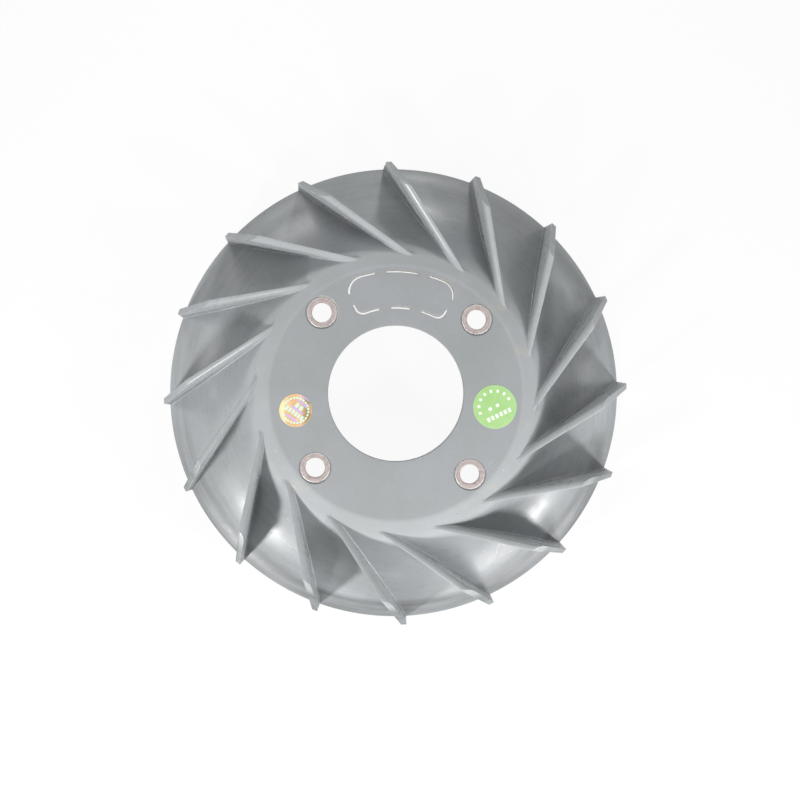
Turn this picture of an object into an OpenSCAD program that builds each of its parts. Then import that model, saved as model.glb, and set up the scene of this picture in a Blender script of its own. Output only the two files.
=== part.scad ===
/* [Shell] */
// Outer diameter of the rim, which the blade tips share
rim_d = 210; // [190:1:240]
// Height of the rim's upper edge above the surface that the fan lies on
rim_edge_h = 2.6; // [2:0.1:4]
// Wall thickness of the flared shell
wall = 3; // [2:0.1:3.6]
// Height of the hub's front face above the bottom of the rim
hub_h = 26; // [20:0.5:34]
// Radius of the turned-down lip at the rim
lip_r = 20; // [12:1:30]
// Radial width of the turned-down lip
lip_w = 8; // [5:0.5:12]
// Slope of the shell where the lip begins, in degrees
lip_slope = 10; // [6:1:16]
// Radius of the round shoulder where the shell turns down from the hub
shoulder_r = 9; // [6:0.5:14]

/* [Hub] */
// Diameter of the flat front face of the hub
face_d = 115.6; // [108:0.2:124]
// Thickness of the flat hub plate
plate_t = 5; // [4:0.5:8]
// Width of the sloping band between the flat face and the shoulder
band_w = 6; // [3:0.5:9]
// Slope of that band, in degrees
band_slope = 14; // [8:1:20]
// Radius that softens the edge of the flat face
face_edge_r = 8; // [5:0.5:12]
// Diameter of the central bore
bore_d = 62; // [50:0.5:66]

/* [Bushes] */
// Pitch circle diameter of the mounting holes
bolt_pcd = 100; // [92:0.5:104]
// Outer diameter of each moulded-in bush
bush_od = 14; // [11:0.1:15]
// Hole through each bush
bush_id = 9; // [6.4:0.1:10]
// How far the bush lies below the front face
bush_recess = 0.3; // [0.1:0.1:1]
// Width of the shallow witness groove round each bush
groove_w = 0.5; // [0.3:0.1:1]
// Depth of that groove
groove_depth = 0.5; // [0.3:0.1:1.5]
// Angle of the first mounting hole, in degrees
bolt_angle = 42.5; // [30:0.5:60]

/* [Knock-out panel] */
// Outer radius of the outline, from the fan's axis
panel_r_out = 56; // [54:0.1:57]
// Inner radius of the outline, from the fan's axis
panel_r_in = 38.7; // [36:0.1:42]
// Angle from the middle of the panel to either side, in degrees
panel_half_angle = 29; // [24:1:31]
// Direction of the middle of the panel, in degrees
panel_angle = 87; // [80:1:95]
// Corner radius at the outer corners
panel_corner_out = 7.5; // [5:0.5:8]
// Corner radius at the inner corners
panel_corner_in = 4; // [3:0.5:6]
// Width of the slits
slit_w = 0.8; // [0.6:0.1:1.5]
// Width of the webs left between the slits
web_w = 5; // [3:0.5:7]
// Angle from the middle of the panel to the webs in its long sides, in degrees
web_angle = 10.2; // [8:0.2:13]

/* [Blades] */
// Number of blades
blade_count = 16; // [12:1:18]
// Distance of the trailing face of each blade from the fan's axis, at the peak
blade_offset = 57.5; // [54:0.5:60]
// Thickness of a blade just under its crown, at the peak
blade_t = 3.2; // [2.8:0.1:3.6]
// Draft of the face that looks towards the axis, in degrees
blade_draft = 1.3; // [0.5:0.1:4]
// Turn of the trailing face against the inner face, which thins the blade towards its start
face_turn = 0.65; // [0:0.05:1]
// Radius that rounds the crown on the side towards the axis
crown_r = 2.8; // [1:0.1:2.8]
// Radius from the axis at which the crown reaches its peak
peak_r = 94; // [88:0.2:98]
// Height of the peak above the bottom of the rim
peak_h = 36.5; // [32:0.5:42]
// Height of the blade tip at the rim
tip_h = 29.8; // [26:0.2:32]
// Radius from the axis at which the crown leaves the shell
crown_start_r = 63.9; // [62:0.1:66]
// Depth of the taper on the trailing face at the tip
tip_taper = 1.1; // [0:0.1:1.4]
// Direction of the first blade tip, in degrees
tip_angle = 2.5; // [0:0.5:22]

/* [Labels] */
// Diameter of the round foil label
foil_d = 15; // [10:0.5:17]
// Diameter of the round green label
green_d = 20; // [14:0.5:21]
// Thickness of both labels
label_t = 0.15; // [0.1:0.01:0.3]
// Distance of the foil label's centre from the axis
foil_r = 46.3; // [45:0.1:47]
// Direction of the foil label, in degrees
foil_angle = 189.6; // [185:0.2:194]
// Distance of the green label's centre from the axis
green_r = 45.6; // [44.5:0.1:46]
// Direction of the green label, in degrees
green_angle = -7.7; // [-12:0.1:-4]

/* [Hidden] */
$fn = 96;

rim_r = rim_d / 2;
face_r = face_d / 2;
back_h = hub_h - plate_t;
bolt_count = 4;
// Overlap that lets a cut pass clean through a face
eps = 1;
// Height above which no part of the fan reaches
sky = peak_h + 30;

// Tangent points and arc centres of the front surface, as [radius, height]
edge_c = [face_r, hub_h - face_edge_r];
edge_end = edge_c + face_edge_r * [sin(band_slope), cos(band_slope)];
band_end = [face_r + band_w, edge_end[1] - (face_r + band_w - edge_end[0]) * tan(band_slope)];
shoulder_c = band_end - shoulder_r * [sin(band_slope), cos(band_slope)];
lip_end_slope = asin(sin(lip_slope) + lip_w / lip_r);
lip_c = [rim_r, rim_edge_h] - lip_r * [sin(lip_end_slope), cos(lip_end_slope)];
lip_start = lip_c + lip_r * [sin(lip_slope), cos(lip_slope)];
// The flare is the one arc that touches both the shoulder's arc and the lip's
flare_d = lip_start - shoulder_c;
flare_r = (flare_d * flare_d - shoulder_r * shoulder_r)
  / (2 * shoulder_r - 2 * (flare_d[0] * sin(lip_slope) + flare_d[1] * cos(lip_slope)));
flare_c = lip_start + flare_r * [sin(lip_slope), cos(lip_slope)];
flare_start = shoulder_c + shoulder_r * (flare_c - shoulder_c) / norm(flare_c - shoulder_c);

// Distance along a blade, from the foot of the perpendicular, at which it reaches a radius
function along(r) = sqrt(r * r - blade_offset * blade_offset);
crown_start = along(crown_start_r);
crown_start_h = band_end[1] + (face_r + band_w - crown_start_r) * tan(band_slope);
peak_at = along(peak_r);
tip_at = along(rim_r);
crown_slope = atan((peak_h - crown_start_h) / (peak_at - crown_start));
// Direction of the tip's inner corner, seen from the foot of the perpendicular
tip_lead = acos((blade_offset - blade_t) / rim_r);

// Filled section under the front surface, moved inwards by a depth
module skin(depth) {
  intersection() {
    square([rim_r, sky]);
    difference() {
      union() {
        polygon([
          [0, 0],
          [0, hub_h - depth],
          [face_r, hub_h - depth],
          edge_c + (face_edge_r - depth) * [sin(band_slope), cos(band_slope)],
          shoulder_c + (shoulder_r - depth) * [sin(band_slope), cos(band_slope)],
          flare_start - depth * (flare_c - shoulder_c) / norm(flare_c - shoulder_c),
          lip_start - depth * [sin(lip_slope), cos(lip_slope)],
          lip_c + (lip_r - depth) * [sin(lip_end_slope), cos(lip_end_slope)],
          [rim_r, 0]
        ]);
        translate(edge_c)
        circle(face_edge_r - depth);
        translate(shoulder_c)
        circle(shoulder_r - depth);
        translate(lip_c)
        circle(lip_r - depth, $fn = 180);
      }
      translate(flare_c)
      circle(flare_r + depth, $fn = 360);
    }
  }
}

// Flared shell with its flat hub plate, hollow behind
module shell() {
  rotate_extrude($fn = 180)
  difference() {
    skin(0);
    intersection() {
      skin(wall);
      square([rim_r, back_h]);
    }
  }
}

// Cross-section of a blade: upright trailing face, round crown, drafted inner face
module blade_section() {
  draft_run = sky * tan(blade_draft);
  polygon([
    [0, 0],
    [crown_r - blade_t, 0],
    [-blade_t, -crown_r],
    [-blade_t - draft_run, -crown_r - sky],
    [0, -crown_r - sky]
  ]);
  intersection() {
    translate([crown_r - blade_t, -crown_r])
    circle(crown_r, $fn = 64);
    translate([-blade_t, -crown_r])
    square([blade_t, crown_r]);
  }
}

// One blade before its ends are trimmed, running out along +Y and rising
module blade_bar() {
  difference() {
    translate([blade_offset, crown_start, crown_start_h])
    rotate([crown_slope, 0, 0])
    rotate([90, 0, 0])
    translate([0, 0, -2 * tip_at])
    linear_extrude(height = 2 * tip_at + crown_start / 2)
    blade_section();
    translate([blade_offset, peak_at, 0])
    rotate([0, 0, atan(tip_taper / (tip_at - peak_at))])
    cube([blade_t * 2, 2 * (tip_at - peak_at), sky]);
    translate([blade_offset, peak_at, 0])
    rotate([0, 0, -face_turn])
    translate([0, -peak_at, 0])
    cube([blade_t * 2, peak_at, sky]);
  }
}

// Space that the blades may fill: from inside the shell's wall up to the sloping tip lands
module blade_envelope() {
  land_slope = (peak_h - tip_h) / (rim_r - peak_r);
  rotate_extrude($fn = 180)
  difference() {
    polygon([
      [face_r, 0],
      [rim_r, 0],
      [rim_r, tip_h],
      [face_r, tip_h + (rim_r - face_r) * land_slope]
    ]);
    skin(wall / 2);
  }
}

// All the blades, spaced evenly and swept back from the rim
module blades() {
  intersection() {
    blade_envelope();
    for (i = [0 : blade_count - 1])
      rotate([0, 0, tip_angle - tip_lead + i * 360 / blade_count])
      blade_bar();
  }
}

// Puts its children at one mounting hole
module at_bolt(i) {
  rotate([0, 0, bolt_angle + i * 360 / bolt_count])
  translate([bolt_pcd / 2, 0, 0])
  children();
}

// Points of an arc about a centre, which itself lies at a polar place
function arc_at(centre_r, centre_a, r, from, to, steps) = [
  for (i = [0 : steps])
    let (a = from + (to - from) * i / steps)
    [centre_r * cos(centre_a) + r * cos(a), centre_r * sin(centre_a) + r * sin(a)]
];

// Outline of the knock-out panel, moved inwards by an inset, with its middle along +X
function panel_outline(inset) =
  let (
    out_c = panel_r_out - panel_corner_out,
    in_c = panel_r_in + panel_corner_in,
    out_a = panel_half_angle - asin(panel_corner_out / out_c),
    in_a = panel_half_angle - asin(panel_corner_in / in_c),
    out_r = panel_corner_out - inset,
    in_r = panel_corner_in - inset
  )
  concat(
    arc_at(0, 0, panel_r_out - inset, -out_a, out_a, 12),
    arc_at(out_c, out_a, out_r, out_a, 90 + panel_half_angle, 6),
    arc_at(in_c, in_a, in_r, 90 + panel_half_angle, 180 + in_a, 6),
    arc_at(0, 0, panel_r_in + inset, in_a, -in_a, 12),
    arc_at(in_c, -in_a, in_r, 180 - in_a, 270 - panel_half_angle, 6),
    arc_at(out_c, -out_a, out_r, -90 - panel_half_angle, -out_a, 6)
  );

// Broken slit that outlines the knock-out panel
module panel_slits() {
  panel_mid_r = (panel_r_out + panel_r_in) / 2;
  rotate([0, 0, panel_angle])
  translate([0, 0, back_h - eps])
  linear_extrude(height = plate_t + 2 * eps)
  difference() {
    polygon(panel_outline(0));
    polygon(panel_outline(slit_w));
    for (side = [-1, 1])
      rotate(side * web_angle)
      translate([0, -web_w / 2])
      square([panel_r_out + eps, web_w]);
    difference() {
      circle(panel_mid_r + web_w / 2);
      circle(panel_mid_r - web_w / 2);
    }
  }
}

// The moulded fan: shell, hub plate and blades in one piece
module fan_wheel() {
  color([0.58, 0.61, 0.61])
  difference() {
    union() {
      shell();
      blades();
    }
    translate([0, 0, back_h - eps])
    cylinder(h = plate_t + 2 * eps, d = bore_d, $fn = 180);
    for (i = [0 : bolt_count - 1])
      at_bolt(i) {
        translate([0, 0, back_h - eps])
        cylinder(h = plate_t + 2 * eps, d = bush_od);
        translate([0, 0, hub_h - groove_depth])
        cylinder(h = groove_depth + eps, d = bush_od + 2 * groove_w);
      }
    panel_slits();
  }
}

// Plain steel bush that takes the clamping load of one bolt
module bush(i) {
  bush_l = plate_t - bush_recess;
  color([0.62, 0.57, 0.55])
  at_bolt(i)
  translate([0, 0, back_h])
  difference() {
    cylinder(h = bush_l, d = bush_od);
    translate([0, 0, -eps])
    cylinder(h = bush_l + 2 * eps, d = bush_id);
  }
}

// Thin round label stuck on the front face
module label(d, r, angle) {
  rotate([0, 0, angle])
  translate([r, 0, hub_h])
  cylinder(h = label_t, d = d);
}

module foil_label() {
  color([0.83, 0.67, 0.45])
  label(foil_d, foil_r, foil_angle);
}

module green_label() {
  color([0.52, 0.80, 0.42])
  label(green_d, green_r, green_angle);
}

fan_wheel();
bush(0);  // bush_1
bush(1);  // bush_2
bush(2);  // bush_3
bush(3);  // bush_4
foil_label();
green_label();
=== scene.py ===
import math

import bmesh
import bpy
import numpy as np
from mathutils import Matrix, Vector, noise
from mathutils.geometry import delaunay_2d_cdt


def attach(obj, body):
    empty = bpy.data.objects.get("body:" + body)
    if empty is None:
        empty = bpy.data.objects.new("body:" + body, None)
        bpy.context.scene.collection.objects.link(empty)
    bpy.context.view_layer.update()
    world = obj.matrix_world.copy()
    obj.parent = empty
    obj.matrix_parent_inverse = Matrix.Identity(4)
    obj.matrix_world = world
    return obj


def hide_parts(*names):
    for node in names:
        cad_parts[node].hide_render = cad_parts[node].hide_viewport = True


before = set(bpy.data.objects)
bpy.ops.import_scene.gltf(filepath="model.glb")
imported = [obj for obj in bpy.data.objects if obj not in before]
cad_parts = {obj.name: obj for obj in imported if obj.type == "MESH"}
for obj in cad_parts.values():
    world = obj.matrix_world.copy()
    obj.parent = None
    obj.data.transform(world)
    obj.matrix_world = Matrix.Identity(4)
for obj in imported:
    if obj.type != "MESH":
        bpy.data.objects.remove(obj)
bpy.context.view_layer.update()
scene = bpy.context.scene
mm = 0.001
print("frame loaded:", len(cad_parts), "nodes")


# the camera looks down on the fan's front and leans a little to one side
shot = {
    "distance": 780.0,  # mm from the rim's upper edge
    "lean": 1.75,  # degrees off the fan's axis
    "leanTo": 165.0,  # direction of the lean round the axis, degrees
    "aim": (2.58, -3.25, 2.6),  # mm, the point in the middle of the picture
    "lens": 74.7,  # mm
    "sensor": 36.0,  # mm across
}


def addCamera(p):
    data = bpy.data.cameras.new("photoCamera")
    data.lens = p["lens"]
    data.sensor_width = p["sensor"]
    cam = bpy.data.objects.new("photoCamera", data)
    scene.collection.objects.link(cam)
    lean, turn = math.radians(p["lean"]), math.radians(p["leanTo"])
    away = Vector((math.sin(lean) * math.cos(turn), math.sin(lean) * math.sin(turn), math.cos(lean)))
    cam.location = (away * p["distance"] + Vector((0, 0, p["aim"][2]))) * mm
    look = Vector(p["aim"]) * mm - cam.location
    cam.rotation_mode = "QUATERNION"
    # keeps the top of the picture towards +Y
    side = look.cross(Vector((0, 1, 0))).normalized()
    up = side.cross(look).normalized()
    cam.rotation_quaternion = Matrix((side, up, -look.normalized())).transposed().to_quaternion()
    scene.camera = cam


addCamera(shot)
print("camera placed")


# the moulded wheel: hub plate, flared shell and blades in one piece
wheel = {
    "rimR": 105.0,  # mm, as all the sizes of the fan
    "rimEdge": 2.6,
    "wall": 3.0,
    "hubH": 26.0,
    "plate": 5.0,
    "lipR": 20.0,
    "lipW": 8.0,
    "lipSlope": 10.0,  # degrees
    "shoulderR": 9.0,
    "faceR": 57.8,
    "bandW": 6.0,
    "bandSlope": 14.0,  # degrees
    "edgeR": 8.0,
    "boreR": 31.0,
    "boreSoft": 0.35,  # rounding of the bore's edges
    "boreSteps": 192,  # points round the bore
    "boltR": 50.0,
    "boltAngle": 42.5,  # degrees
    "boltCount": 4,
    "seatR": 7.0,
    "seatSteps": 64,
    "grooveR": 7.5,
    "grooveDepth": 0.5,
    "rimSoft": 0.15,  # rounding of the rim's outer edge
    "spread": ((34.5, 90), (41.0, 90), (47.5, 100), (54.0, 110)),  # circles of points on the plate
}
blade = {
    "count": 16,
    "offset": 57.5,
    "thick": 3.2,
    "draft": 1.3,  # degrees
    "faceTurn": 0.65,  # degrees, thins the blade towards its start
    "crownR": 2.8,
    "peakR": 94.0,
    "peakH": 36.5,
    "tipH": 29.8,
    "startR": 63.9,
    "taper": 1.1,
    "tipAngle": 2.5,  # degrees
    "rootR": 0.5,  # fillet where a blade meets the shell
    "edgeR": 0.3,  # rounding of the trailing edge
    "innerEdgeR": 0.16,
    "crease": 0.12,  # softness of the edge where the crown meets the tip land
    "roundShare": 0.45,  # a rounding takes at most this share of the height
    "spreadOut": 1.3,  # how far the lines spread out on the shell before the blade
    "spreadIn": 3.5,
    "reach": (4.0, 93.0),  # stretch along the blade that is worked out
    "samples": 4451,
}
panel = {
    "outR": 56.0,
    "inR": 38.7,
    "half": 29.0,  # degrees
    "turn": 87.0,  # degrees
    "cornerOut": 7.5,
    "cornerIn": 4.0,
    "slit": 0.8,
    "web": 5.0,
    "webAngle": 10.2,  # degrees
    "waver": 0.07,  # unevenness of the slit's edges
    "waverScale": 0.35,  # per mm
    "round": 0.07,
    "step": 0.33,  # between points along a slit
    "pinch": 0.35,  # share by which a slit narrows at its ends
    "tip": 0.12,  # length of its pointed ends
}


def sinD(a):
    return math.sin(math.radians(a))


def cosD(a):
    return math.cos(math.radians(a))


def polar(r, angle):
    return r * cosD(angle), r * sinD(angle)


def boltPlace(number):
    # centre of a bush and its seat
    return polar(wheel["boltR"], wheel["boltAngle"] + 360 / wheel["boltCount"] * number)


def shellArcs(w):
    # the circles that make up the section of the shell's front, and where they meet
    s, c = sinD(w["bandSlope"]), cosD(w["bandSlope"])
    edgeC = np.array((w["faceR"], w["hubH"] - w["edgeR"]))
    edgeEnd = edgeC + w["edgeR"] * np.array((s, c))
    bandR = w["faceR"] + w["bandW"]
    bandEnd = np.array((bandR, edgeEnd[1] - (bandR - edgeEnd[0]) * s / c))
    shoulderC = bandEnd - w["shoulderR"] * np.array((s, c))
    lipEnd = math.asin(sinD(w["lipSlope"]) + w["lipW"] / w["lipR"])
    lipC = np.array((w["rimR"], w["rimEdge"])) - w["lipR"] * np.array((math.sin(lipEnd), math.cos(lipEnd)))
    lipDir = np.array((sinD(w["lipSlope"]), cosD(w["lipSlope"])))
    lipStart = lipC + w["lipR"] * lipDir
    d = lipStart - shoulderC
    flareR = (d @ d - w["shoulderR"] ** 2) / (2 * w["shoulderR"] - 2 * d @ lipDir)
    flareC = lipStart + flareR * lipDir
    toFlare = (flareC - shoulderC) / np.linalg.norm(flareC - shoulderC)
    flareStart = shoulderC + w["shoulderR"] * toFlare
    return {
        "edgeC": edgeC, "edgeEnd": edgeEnd, "bandEnd": bandEnd, "bandTan": s / c,
        "shoulderC": shoulderC, "toFlare": toFlare, "flareStart": flareStart,
        "flareC": flareC, "flareR": flareR, "lipC": lipC, "lipStart": lipStart,
        "lipDir": lipDir,
    }


arcs = shellArcs(wheel)


def onArc(r, centre, radius, side):
    return centre[1] + side * np.sqrt(np.maximum(radius ** 2 - (r - centre[0]) ** 2, 0.0))


def shellTop(r):
    # height of the front surface at a radius
    r = np.asarray(r, float)
    a, w = arcs, wheel
    ends = (w["faceR"], a["edgeEnd"][0], a["bandEnd"][0], a["flareStart"][0], a["lipStart"][0])
    heights = [
        np.full_like(r, w["hubH"]),
        onArc(r, a["edgeC"], w["edgeR"], 1),
        a["bandEnd"][1] + (a["bandEnd"][0] - r) * a["bandTan"],
        onArc(r, a["shoulderC"], w["shoulderR"], 1),
        onArc(r, a["flareC"], a["flareR"], -1),
    ]
    return np.select([r <= end for end in ends], heights, onArc(r, a["lipC"], w["lipR"], 1))


def smoothStep(v):
    v = np.clip(v, 0.0, 1.0)
    return v * v * (3 - 2 * v)


def softMin(a, b, e):
    # the lower of two heights, with a rounded change between them
    return 0.5 * (a + b - np.sqrt((a - b) ** 2 + e * e))


# cells across each stretch of a blade, from its trailing side to its inner side and over the channel
cells = {
    "rootOut": 5,
    "faceOut": 3,
    "edge": 3,
    "crown": 10,
    "faceIn": 3,
    "rootIn": 5,
    "channel": 16,
}
# circles of mesh points, from one radius to another in mm, with the number of steps between them
rows = {
    "band": (59.95, 67.0, 24),
    "rise": (67.0, 84.0, 31),
    "back": (84.0, blade["peakR"] - 0.8, 10),
    "peak": (-0.4, -0.15, 0.0, 0.15, 0.4, 0.8),  # single circles, from the peak's radius
    "land": (blade["peakR"] + 0.8, wheel["rimR"] - wheel["rimSoft"], 12),
    "face": (0.0, 0.35, 0.7, 1.1, 1.55, 1.95),  # single circles, from the edge of the hub's face
    "gatherFrom": 82.0,  # from here on the circles bend to meet the edge of the tip land
}


class BladeShape:
    # One blade in its own frame: y runs along it, and x is the distance from the fan's axis.
    # A line along the blade is an x and a height for each y.
    def __init__(self, b):
        self.b = b
        self.y = y = np.linspace(*b["reach"], b["samples"])
        self.y0 = math.sqrt(b["startR"] ** 2 - b["offset"] ** 2)
        self.z0 = arcs["bandEnd"][1] + (arcs["bandEnd"][0] - b["startR"]) * arcs["bandTan"]
        self.peakY = math.sqrt(b["peakR"] ** 2 - b["offset"] ** 2)
        rimY = math.sqrt(wheel["rimR"] ** 2 - b["offset"] ** 2)
        rise = math.atan((b["peakH"] - self.z0) / (self.peakY - self.y0))
        self.sinA, self.cosA = math.sin(rise), math.cos(rise)
        self.landSlope = (b["peakH"] - b["tipH"]) / (wheel["rimR"] - b["peakR"])
        self.lean = math.tan(math.radians(b["draft"]))
        self.leanAngle = math.atan(self.lean * self.cosA)
        self.xArc = b["offset"] - b["thick"]
        self.xRound = self.xArc + b["crownR"]
        self.zArc = self.crown(b["crownR"])
        self.taper = b["taper"] * np.clip((y - self.peakY) / (rimY - self.peakY), 0.0, 2.0)
        self.taper += math.tan(math.radians(b["faceTurn"])) * np.maximum(self.peakY - y, 0.0)
        self.outer = cells["rootOut"] + cells["faceOut"] + cells["edge"]

    def floor(self, x):
        # the shell's height under the blade
        return shellTop(np.hypot(x, self.y))

    def tilt(self, x):
        return (self.floor(x + 0.02) - self.floor(x - 0.02)) / 0.04

    def crown(self, drop):
        # height of the crown's ridge, or of a line some way below it
        return self.z0 + ((self.y - self.y0) * self.sinA - drop) / self.cosA

    def crownAt(self, x):
        r = self.b["crownR"]
        run = np.clip(self.xRound - x, 0.0, r)
        return self.crown(r - np.sqrt(r ** 2 - run ** 2))

    def land(self, x):
        # height of the sloped tip land
        return self.b["peakH"] - (np.hypot(x, self.y) - self.b["peakR"]) * self.landSlope

    def faceX(self, z):
        # the drafted inner face
        depth = (self.y - self.y0) * self.sinA - (z - self.z0) * self.cosA - self.b["crownR"]
        return self.xArc - self.lean * np.maximum(depth, 0.0)

    def trailingLines(self):
        # root fillet, face and rounded edge of the trailing side
        b = self.b
        x = b["offset"] - self.taper
        top = softMin(self.crown(0.0), self.land(x), b["crease"])
        height = top - self.floor(x)
        safe = np.maximum(height, 1e-3)
        root = np.minimum(b["rootR"], b["roundShare"] * safe)
        edge = np.minimum(b["edgeR"], b["roundShare"] * safe)
        m = self.tilt(x + root)
        centre = self.floor(x + root) + root * np.sqrt(1 + m * m)
        endAngle = np.arctan2(-1.0, m) + 2 * math.pi
        lines = []
        n = cells["rootOut"]
        for i in range(n + 1):
            a = endAngle + (math.pi - endAngle) * i / n
            lines.append((x + root + root * np.cos(a), centre + root * np.sin(a)))
        n = cells["faceOut"]
        for i in range(1, n + 1):
            lines.append((x, centre + (top - edge - centre) * i / n))
        n = cells["edge"]
        for i in range(1, n + 1):
            a = 0.5 * math.pi * i / n
            lines.append((x - edge + edge * math.cos(a), top - edge + edge * math.sin(a)))
        return lines, height

    def faceTouch(self):
        # centre of the root fillet that touches the inner face
        root = self.b["rootR"]
        z = self.floor(self.xArc - root) + root
        for _ in range(12):
            x = self.faceX(z) - root / math.cos(self.leanAngle)
            m = self.tilt(x)
            z = self.floor(x) + root * np.sqrt(1 + m * m)
        return x, z

    def crownTouch(self):
        # centre of the root fillet that touches the round crown, and the angle where it does
        root, r = self.b["rootR"], self.b["crownR"]
        low, high = np.zeros_like(self.y), np.full_like(self.y, 0.5 * math.pi)
        for _ in range(40):
            t = 0.5 * (low + high)
            nx, nz = -np.cos(t), np.sin(t) * self.cosA
            size = np.hypot(nx, nz)
            x = self.xRound - r * np.cos(t) + root * nx / size
            z = self.zArc + r * np.sin(t) / self.cosA + root * nz / size
            m = self.tilt(x)
            above = z - self.floor(x) - root * np.sqrt(1 + m * m) > 0
            high = np.where(above, t, high)
            low = np.where(above, low, t)
        return x, z, 0.5 * (low + high)

    def innerLines(self):
        # round crown, inner face and root fillet of the inner side
        b, zArc = self.b, self.zArc
        root, inset = b["rootR"], b["innerEdgeR"]
        xFace, zFace = self.faceTouch()
        xCrown, zCrown, angle = self.crownTouch()
        # while the blade is low it has no face, and the fillet touches the crown
        zTouch = zFace - root * math.sin(self.leanAngle)
        tall = zTouch < zArc
        t0 = np.where(tall, 0.0, angle)
        xc = np.where(tall, xFace, xCrown)
        zc = np.where(tall, zFace, zCrown)
        zStart = np.where(tall, zTouch, 0.0)
        zLand = self.land(self.faceX(np.minimum(zArc, self.land(np.full_like(self.y, self.xArc)))))
        cut = smoothStep((zArc - zLand) / 0.5)
        zEnd = softMin(zArc, zLand, 0.02) - inset * cut
        faceLen = np.where(tall, np.maximum(zEnd - zStart, 0.0), 0.0)
        arcLen = b["crownR"] * (0.5 * math.pi - t0)
        total = faceLen + arcLen
        split = np.maximum(faceLen, 0.2 * total)
        xStart = np.where(zArc > zLand, self.faceX(zLand), self.xArc)
        xEnd = self.xRound - self.taper

        def pointAt(length):
            # point on the inner side at a length up from the fillet
            zOn = zStart + length
            share = np.clip((length - faceLen) / np.maximum(arcLen, 1e-6), 0, 1)
            t = t0 + share * (0.5 * math.pi - t0)
            x = xStart + (xEnd - xStart) * (1 - np.cos(t))
            run = np.clip(x - xStart, 0.0, inset)
            drop = inset - np.sqrt(np.maximum(inset ** 2 - (inset - run) ** 2, 0.0))
            crease = b["crease"] * np.clip((x - xStart) / 0.4, 0.05, 1)
            z = softMin(self.crownAt(x), self.land(x), crease) - drop * cut
            onFace = length <= faceLen - 1e-9
            return np.where(onFace, self.faceX(zOn), x), np.where(onFace, zOn, z)

        lines = []
        n = cells["crown"]
        for i in range(n + 1):
            lines.append(pointAt(split + (total - split) * (n - i) / n))
        n = cells["faceIn"]
        for i in range(1, n):
            lines.append(pointAt(split * (n - i) / n))
        touch = np.where(tall, -self.leanAngle, -np.arctan2(np.sin(t0) * self.cosA, np.cos(t0)))
        end = np.arctan2(-1.0, self.tilt(xc))
        n = cells["rootIn"]
        for i in range(n + 1):
            a = touch + (end - touch) * i / n
            lines.append((xc + root * np.cos(a), zc + root * np.sin(a)))
        return lines

    def spreadLines(self, lines, height):
        # before the blade rises, its lines lie spread out on the shell
        b, first, last = self.b, self.outer, len(lines) - 1
        grown = smoothStep(height / 1.0)
        xs, zs = [], []
        for i, (x, z) in enumerate(lines):
            if i <= first:
                flat = b["offset"] + b["spreadOut"] - (b["spreadOut"] + b["edgeR"]) * i / first
            else:
                flat = self.xRound - b["spreadIn"] * (i - first - 1) / (last - first - 1)
            flat = np.full_like(self.y, flat)
            x = np.where(grown > 0, x, flat)
            z = np.where(grown > 0, z, self.floor(flat))
            if i in (0, last):
                z = self.floor(x)
            xs.append(flat + (x - flat) * grown)
            zs.append(self.floor(flat) + (z - self.floor(flat)) * grown)
        return np.array(xs), np.array(zs)

    def landRadii(self, xs, reach):
        # radius at which each line passes from the crown to the tip land
        radii = []
        pastHalf = self.y > 0.5 * (self.y0 + self.peakY)
        for i, x in enumerate(xs):
            if i <= self.outer:
                top = self.crown(0.0)
            elif i <= self.outer + 1 + cells["crown"]:
                top = self.crownAt(x)
            else:
                top = self.zArc
            passed = (top - self.land(x) > 0) & pastHalf
            radii.append(reach[i][int(np.argmax(passed))])
        return np.array(radii)


def bladeLines(b):
    # the lines along a blade, the radii where they reach the tip land, and the blade's turn
    shape = BladeShape(b)
    trailing, height = shape.trailingLines()
    xs, zs = shape.spreadLines(trailing + shape.innerLines(), height)
    reach = np.hypot(xs, shape.y)
    meet = shape.landRadii(xs, reach)
    turn = math.radians(b["tipAngle"] - math.degrees(math.acos(shape.xArc / wheel["rimR"])))
    return shape.y, xs, zs, np.maximum.accumulate(reach, axis=1), meet, turn


def rowRadii(p):
    radii = [p["band"][0]]
    for name in ("band", "rise", "back"):
        start, end, steps = p[name]
        radii += list(np.linspace(start, end, steps + 1)[1:])
    radii += [blade["peakR"] + d for d in p["peak"]]
    start, end, steps = p["land"]
    radii += list(np.linspace(start, end, steps + 1)[1:])
    return np.array(radii)


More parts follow.
